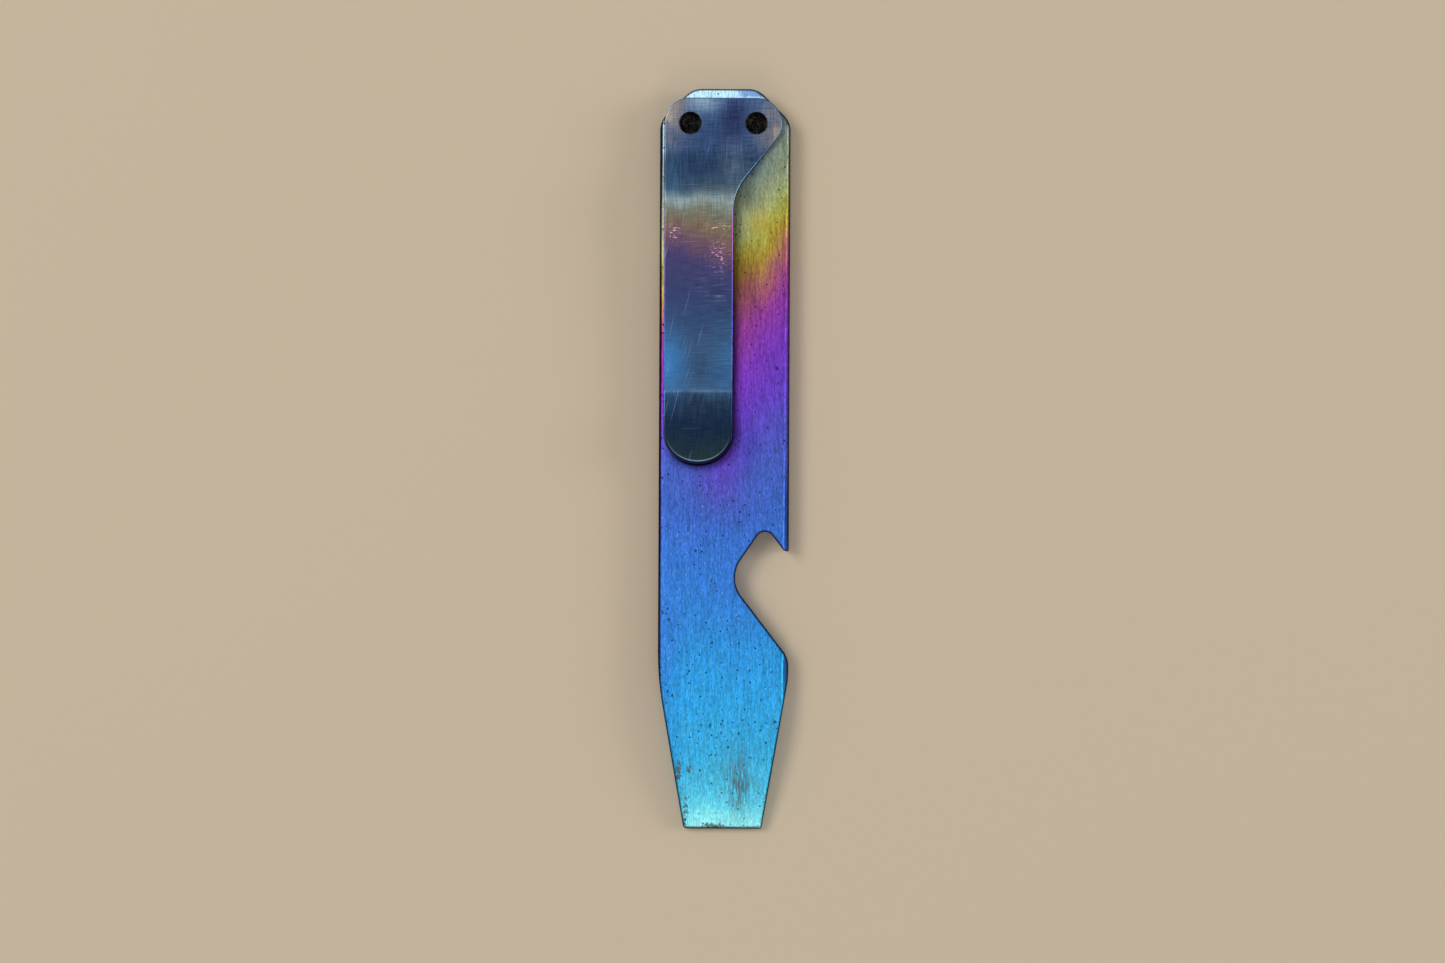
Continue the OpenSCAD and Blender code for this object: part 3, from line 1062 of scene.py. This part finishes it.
def shaded_by_clip(s, colour, clip_side):
    """Darker where the clip's arm lies close over the bar, and darkest at the rim of its tip."""
    past_arm = s.less(from_arm_line(s, 1.0), CLIP_W / 2)
    at_rim = s.product(s.ramp(past_arm, 0.55, 0.3), s.ramp(s.y, 4.5, 1.0), clip_side)
    at_rim = s.product(at_rim, s.ramp(s.x, CLIP_LEFT + 0.4, CLIP_LEFT + 3.0))
    colour = s.dimmed(colour, at_rim, 0.12)
    near_arm = s.product(s.ramp(past_arm, 1.7, -0.2), s.ramp(s.y, 36.0, 22.0, 0.6, 1.0), clip_side)
    near_arm = s.product(near_arm, s.ramp(s.x, CLIP_LEFT - 0.4, CLIP_LEFT + 2.0))
    near_arm = s.product(near_arm, s.ramp(s.y, CLIP_TOP - 0.5, CLIP_TOP - 1.5))
    return s.dimmed(colour, near_arm, 0.2)


def crease_highlights(s, colour, strokes):
    """Painted highlights brighten the creases along the clip side's chamfers."""
    from_end = s.less(END_Y, s.y)
    notched = s.sum(s.x, s.product(from_end, NOTCHED_EDGE_GAIN), NOTCHED_EDGE - SIDE)
    plain = s.sum(s.x, s.product(from_end, PLAIN_EDGE_GAIN), SIDE - PLAIN_EDGE)
    crease = s.most(s.hump(notched, -0.06, 0.1), s.hump(plain, 0.06, 0.1))
    crease = s.product(crease, s.ramp(s.z, 2.0, 3.0))
    return s.shaded(colour, s.sum(1.0, s.product(crease, s.ramp(strokes, 0.3, 0.6, 0.15, 0.8))))


def pits(s, gap, size, rare, seed):
    """Specks of uneven size and outline, at the points whose random number is above a limit."""
    near, chance = s.specks(gap, seed)
    ragged = s.sum(near, s.about_zero(s.noise((0.2, 0.3, 0.2), seed=seed + 1), size * 1.6))
    reach = s.product(s.ramp(chance, rare, 1.0, 0.35, 1.0, smooth=False), size)
    depth = s.ramp(s.math("DIVIDE", ragged, reach), 1.0, 0.45)
    return s.product(depth, s.math("GREATER_THAN", chance, rare))


def bar_pits(s, upright):
    """Small dark pits, more of them towards the tip and very faint on the sides."""
    pit = s.most(
        pits(s, gap=0.8, size=0.22, rare=s.ramp(s.y, -4.0, -40.0, 0.35, 0.25), seed=2),
        pits(s, gap=2.6, size=0.34, rare=s.ramp(s.y, 10.0, -40.0, 0.65, 0.5), seed=14),
    )
    return s.product(pit, s.ramp(upright, 0.4, 0.7, 0.12, 1.0))


def worn_and_gleaming_tip(s, colour):
    """A painted highlight gleams at the tip, and the finish is rubbed through in streaks and blotches."""
    fine = s.strokes((0.22, 2.6, 2.0), sway=0.1, detail=2.0, seed=47)
    painted_gleam = s.product(s.ramp(fine, 0.46, 0.64), s.hump(s.y, TIP_Y + 2.0, 1.6), 0.45)
    colour = s.mix(painted_gleam, colour, PAINTED_GLEAM_COLOUR)
    streaked = s.product(s.spot(*STREAKS[:4]), s.ramp(fine, 0.38, 0.6), STREAKS[4])
    blotches = s.about_zero(s.noise((0.4, 0.46, 0.4), detail=2.0, seed=41), 2.2)
    scuffed = s.most(*[s.product(s.spot(*place), strength) for *place, strength in SCUFFS])
    scuffed = s.ramp(s.sum(scuffed, blotches), 0.55, 0.85)
    return s.mix(s.most(streaked, s.product(scuffed, 0.8)), colour, BARE_COLOUR)


def bar_edges(s, colour, upright, clip_side):
    """Painted shade: sides, chamfers and edges are darker and more purple than the faces."""
    sloped = s.ramp(upright, 0.9, 0.72)
    colour = s.over(colour, SLOPE_SHADE_COLOUR, sloped, 0.2)
    # painted shade and a more purple colour on the plain side, except where it is yellow
    not_yellow = s.less(1.0, s.hump(s.y, 34.0, 7.0))
    plain_side = s.product(s.ramp(s.x, 0.5 - SIDE, 0.28 - SIDE), not_yellow)
    colour = s.over(colour, s.gradient(s.y, PLAIN_SIDE_COLOURS), plain_side, 0.5)
    colour = s.dimmed(colour, plain_side, 0.5)
    tint = s.mix(plain_side, WHITE, s.gradient(s.y, PLAIN_SIDE_TINTS))
    colour = s.vector("MULTIPLY", colour, tint)
    # painted shade on the plain side at the clip end, and on the narrow strip of face beside the clip
    upper_side_shade = s.product(s.ramp(s.x, 0.62 - SIDE, 0.36 - SIDE), s.ramp(s.y, 42.0, 45.0))
    colour = s.over(colour, UPPER_SIDE_SHADE_COLOUR, upper_side_shade, 0.75)
    beside_clip_shade = s.product(s.hump(s.x, CLIP_LEFT, 0.16), s.ramp(s.y, 38.0, 43.0), clip_side)
    colour = s.dimmed(colour, beside_clip_shade, 0.14)
    # darker blue on the slopes at the heel of the notch, and painted shade on the wedge-shaped chamfer
    # along the clip end
    heel = s.product(s.ramp(s.x, 6.0, 8.0), s.ramp(s.y, 1.0, -6.0), s.ramp(s.y, -36.0, -31.0))
    colour = s.over(colour, HEEL_COLOUR, sloped, heel, 0.6)
    wedge_shade = s.product(s.ramp(s.y, END_Y - 1.4, END_Y - 0.9), s.ramp(s.x, 0.8, 3.2))
    colour = s.over(colour, WEDGE_SHADE_COLOUR, wedge_shade, 0.7)
    # painted shade on the marked edges
    return s.over(colour, BAR_EDGE_SHADE_COLOUR, s.marked_edge(), 0.92)


def bar_material():
    s = Shader("heat_coloured_titanium")
    strokes = s.strokes((0.24, 2.8, 0.4), sway=0.2, detail=2.0, seed=11)
    grain = s.strokes((0.16, 0.6, 0.3), sway=0.15, detail=1.0, seed=5)
    clip_side = s.ramp(s.z, 2.4, 3.4)
    upright = s.math("ABSOLUTE", s.split(s.normal)[2])
    pit = bar_pits(s, upright)
    colour = bar_heat_colour(s, strokes)
    colour = brushed(s, colour, strokes, grain)
    colour = s.patches(colour, BAR_PATCHES, clip_side)
    colour = shaded_by_clip(s, colour, clip_side)
    colour = crease_highlights(s, colour, strokes)
    colour = s.over(colour, PIT_COLOUR, pit, 0.8)
    colour = worn_and_gleaming_tip(s, colour)
    colour = bar_edges(s, colour, upright, clip_side)
    height = s.sum(strokes, s.product(grain, 0.6), s.product(pit, -1.6))
    return s.metal(colour, s.ramp(strokes, 0.25, 0.75, 0.5, 0.6), height, depth=0.02)


def clip_heat_colour(s, along):
    """The pale band where the clip lifts off is wider towards its inner side."""
    spread = s.ramp(s.x, CLIP_LEFT, CLIP_RIGHT, 1.12, 0.76, smooth=False)
    band = CLIP_TOP - 14.5
    widened = s.sum(band, s.product(s.less(s.y, band), spread))
    near_band = s.product(s.ramp(s.y, 24.0, 30.0), s.ramp(s.y, 50.0, 46.0))
    position = s.sum(s.y, s.product(s.less(widened, s.y), near_band))
    drift = s.about_zero(s.noise((3.5, 4.5, 6.0), seed=21), 4.0)
    colour = s.gradient(s.sum(position, drift, s.about_zero(along, 2.0)), CLIP_COLOURS)
    # brighter blue towards the sides of the lower half
    outer = s.most(s.ramp(s.x, CLIP_MIDDLE, CLIP_LEFT), s.ramp(s.x, CLIP_MIDDLE, CLIP_RIGHT, 0.0, 0.4))
    colour = s.over(colour, OUTER_BLUE, outer, s.hump(s.y, 14.0, 4.5), 0.75)
    # straw and grey round the corners of the tab, and patches over the rest of it
    cloud = s.ramp(s.noise((2.6, 2.6, 6.0), seed=29), 0.3, 0.6, 0.4, 1.0)
    corners = s.most(s.spot(CLIP_LEFT, 50.8, 2.4, 4.0), s.product(s.spot(TAB_RIGHT, 48.5, 2.8, 4.0), 0.9))
    colour = s.over(colour, STRAW_COLOUR, corners, cloud)
    colour = s.patches(colour, CLIP_PATCHES)
    return s.patches(colour, CLOUDY_PATCHES, cloud)


def clip_marks(s, colour, along, across):
    """A painted highlight on the line where the sheet bends up, painted glints, light lines and the
    brushing.
    """
    # painted highlight along the line where the sheet bends
    bend_highlight = s.hump(s.y, CLIP_TOP - CLIP_BENDS[2][0] + 0.1, 0.3)
    broken = s.ramp(s.noise((1.2, 1.2, 6.0), seed=71), 0.35, 0.6, 0.05, 0.3)
    colour = s.over(colour, BEND_HIGHLIGHT_COLOUR, bend_highlight, broken)
    # painted glints, orange and pink
    dashes = s.strokes((0.2, 0.6, 6.0), turn=CROSSWISE, detail=1.0, seed=8)
    painted_glint = s.ramp(dashes, 0.55, 0.7)
    colour = s.over(colour, ORANGE_GLINT, painted_glint, s.spot(-0.9, 33.8, 1.5, 0.5))
    pink_glint_spots = s.most(s.spot(-0.9, 30.0, 1.2, 2.2), s.spot(-7.4, 33.0, 0.9, 1.2))
    colour = s.over(colour, PINK_GLINT, painted_glint, pink_glint_spots, 0.85)
    light_lines = s.product(s.ramp(across, 0.56, 0.7), s.spot(-1.2, 24.6, 2.2, 2.6))
    colour = s.over(colour, LIGHT_LINE_COLOUR, light_lines, 0.3)
    crosswise = s.product(s.about_zero(across, 1.4), s.ramp(s.x, CLIP_LEFT, CLIP_RIGHT, 0.55, 1.1))
    lengthwise = s.product(s.about_zero(along, 1.3), s.ramp(s.y, 30.0, 40.0, 0.4, 1.0))
    return s.shaded(colour, s.sum(1.0, lengthwise, crosswise))


def clip_scratches(s):
    """A few long thin scratches, and a rubbed place in the lower half."""
    first = s.strokes((0.14, 9.0, 9.0), turn=math.radians(14), detail=0.0, seed=61)
    second = s.strokes((0.14, 8.0, 9.0), turn=CROSSWISE, detail=0.0, seed=67)
    third = s.strokes((0.16, 5.0, 9.0), turn=math.radians(17), detail=1.0, seed=91)
    rubbed = s.product(s.ramp(third, 0.58, 0.74), s.spot(-5.5, 14.5, 3.2, 6.0), 0.8)
    return s.most(s.ramp(first, 0.76, 0.84), s.ramp(second, 0.78, 0.86), rubbed)


def clip_edges(s, colour):
    """A painted highlight brightens the rim and painted shade darkens the sides; just inside the tip's
    rim lies a pale line of painted highlight, and the rim itself is dark with painted shade.
    """
    facing = s.split(s.normal)[2]
    plain_side = s.product(s.ramp(s.x, CLIP_LEFT + 0.8, CLIP_LEFT + 0.3), s.ramp(s.y, 34.0, 40.0))
    rim = s.product(s.marked_edge(), s.ramp(facing, 0.5, 0.8), s.ramp(s.y, 4.0, 9.0), 0.75)
    rim = s.product(rim, s.ramp(plain_side, 0.0, 1.0, 1.0, 0.25))
    colour = s.mix(rim, colour, s.gradient(s.y, CLIP_RIM_HIGHLIGHT_COLOURS))
    upright = s.math("ABSOLUTE", facing)
    colour = s.mix(s.ramp(upright, 0.75, 0.5, 0.0, 0.88), colour, CLIP_SIDE_SHADE_COLOUR)
    past_rim = s.less(from_arm_line(s, TIP_ROUND), CLIP_W / 2)
    at_tip = s.ramp(s.y, 3.6, 1.8)
    line = s.product(s.hump(past_rim, -0.38, 0.1), s.hump(s.x, CLIP_MIDDLE, 3.4), at_tip, 0.75)
    colour = s.mix(line, colour, TIP_HIGHLIGHT_COLOUR)
    tip_rim_shade = s.product(s.ramp(past_rim, -0.3, -0.2), at_tip, 0.95)
    return s.mix(tip_rim_shade, colour, TIP_RIM_SHADE_COLOUR)


def clip_material():
    s = Shader("heat_coloured_clip")
    along = s.strokes((0.2, 3.0, 6.0), sway=0.15, seed=23)
    across = s.strokes((0.18, 2.6, 6.0), sway=0.1, turn=CROSSWISE, seed=25)
    scratch = clip_scratches(s)
    colour = clip_heat_colour(s, along)
    colour = clip_marks(s, colour, along, across)
    colour = s.over(colour, SCRATCH_COLOUR, scratch, 0.26)
    colour = clip_edges(s, colour)
    height = s.sum(along, s.product(across, 0.7), s.product(scratch, -0.5))
    return s.metal(colour, s.ramp(along, 0.25, 0.75, 0.26, 0.36), height, depth=0.008)


def screw_material():
    s = Shader("black_oxide")
    grain = s.noise((0.3, 0.3, 0.3), detail=3.0, seed=31)
    colour = s.mix(s.ramp(grain, 0.35, 0.7), *BLACK_COLOURS)
    # rubbed steel on the edges, which also serves as a painted highlight on the rims and socket edges
    rubbed = s.product(s.marked_edge(), s.ramp(s.noise((0.4, 0.4, 0.4), seed=33), 0.4, 0.62), 0.7)
    colour = s.mix(rubbed, colour, STEEL_AND_HIGHLIGHT_COLOUR)
    return s.metal(colour, s.ramp(grain, 0.3, 0.7, 0.3, 0.45), grain, depth=0.012)


# ---- floor, lights and camera ----

FLOOR_HALF = 1500.0
FLOOR_GAP = 0.02
FLOOR_COLOUR = (192, 174, 149)
FLOOR_ROUGHNESS = 0.75

# Lights: place and width in metres, and brightness of the surface
LIGHTS = {
    "top_light": ((-0.1, -0.05, 1.2), 0.6, 0.72),
    "left_light": ((-0.55, 0.3, 0.9), 0.45, 8.0),
    "right_light": ((0.95, 0.1, 0.5), 0.45, 5.6),
    "front_light": ((0.1, -0.85, 0.75), 0.45, 2.6),
}

# The sky's strength, level with the floor and overhead, and its linear colour
SKY_LOW = 0.14
SKY_HIGH = 0.58
SKY_COLOUR = (0.94, 0.97, 1.0, 1.0)

FRAME_WIDTH = 211.0
FRAME_CENTRE = (-0.2, -3.2)
LENS = 90.0
SENSOR = 36.0
CAMERA_ROLL = math.radians(0.25)


def make_floor():
    """A plain floor, a hair below the bar's back face."""
    s = Shader("pale_floor")
    s.finish(Base_Color=linear(FLOOR_COLOUR), Roughness=FLOOR_ROUGHNESS)
    turns = ((-1, -1), (1, -1), (1, 1), (-1, 1))
    corners = [(turn_x * FLOOR_HALF, turn_y * FLOOR_HALF, -FLOOR_GAP) for turn_x, turn_y in turns]
    floor = add_mesh("floor", corners, [(0, 1, 2, 3)])
    floor.data.materials.append(s.material)


def add_light(name, position, size, brightness):
    """A square soft light that faces the object. The brightness is of its surface."""
    light = bpy.data.lights.new(name, "AREA")
    light.size = size
    light.energy = brightness * math.pi * size * size
    lamp = bpy.data.objects.new(name, light)
    lamp.location = position
    lamp.rotation_euler = (-Vector(position)).to_track_quat("-Z", "Y").to_euler()
    bpy.context.scene.collection.objects.link(lamp)


def make_sky():
    world = bpy.data.worlds.new("studio")
    bpy.context.scene.world = world
    world.use_nodes = True
    tree = world.node_tree
    background = tree.nodes["Background"]
    direction = tree.nodes.new("ShaderNodeTexCoord")
    split = tree.nodes.new("ShaderNodeSeparateXYZ")
    fade = tree.nodes.new("ShaderNodeMapRange")
    fade.inputs["To Min"].default_value = SKY_LOW
    fade.inputs["To Max"].default_value = SKY_HIGH
    tree.links.new(direction.outputs["Generated"], split.inputs[0])
    tree.links.new(split.outputs["Z"], fade.inputs["Value"])
    tree.links.new(fade.outputs[0], background.inputs["Strength"])
    background.inputs["Color"].default_value = SKY_COLOUR


def make_camera():
    """Straight above, as far off as frames the given width."""
    data = bpy.data.cameras.new("camera")
    data.lens = LENS
    data.sensor_width = SENSOR
    camera = bpy.data.objects.new("camera", data)
    above = BAR_T + FRAME_WIDTH * LENS / SENSOR
    camera.location = (FRAME_CENTRE[0] * MM, FRAME_CENTRE[1] * MM, above * MM)
    camera.rotation_euler = (0, 0, CAMERA_ROLL)
    bpy.context.scene.collection.objects.link(camera)
    bpy.context.scene.camera = camera


# ---- scene ----

make_camera()
make_sky()
for light_name, (light_place, light_size, light_brightness) in LIGHTS.items():
    add_light(light_name, light_place, light_size, light_brightness)
make_floor()
bar = make_bar()
bar.data.materials.append(bar_material())
clip = make_clip()
clip.data.materials.append(clip_material())
black = screw_material()
for side_name in ("left", "right"):
    screw = make_screw(f"screw_{side_name}", f"clip_screw_{side_name}")
    screw.data.materials.append(black)
bpy.context.scene.view_settings.view_transform = "Standard"
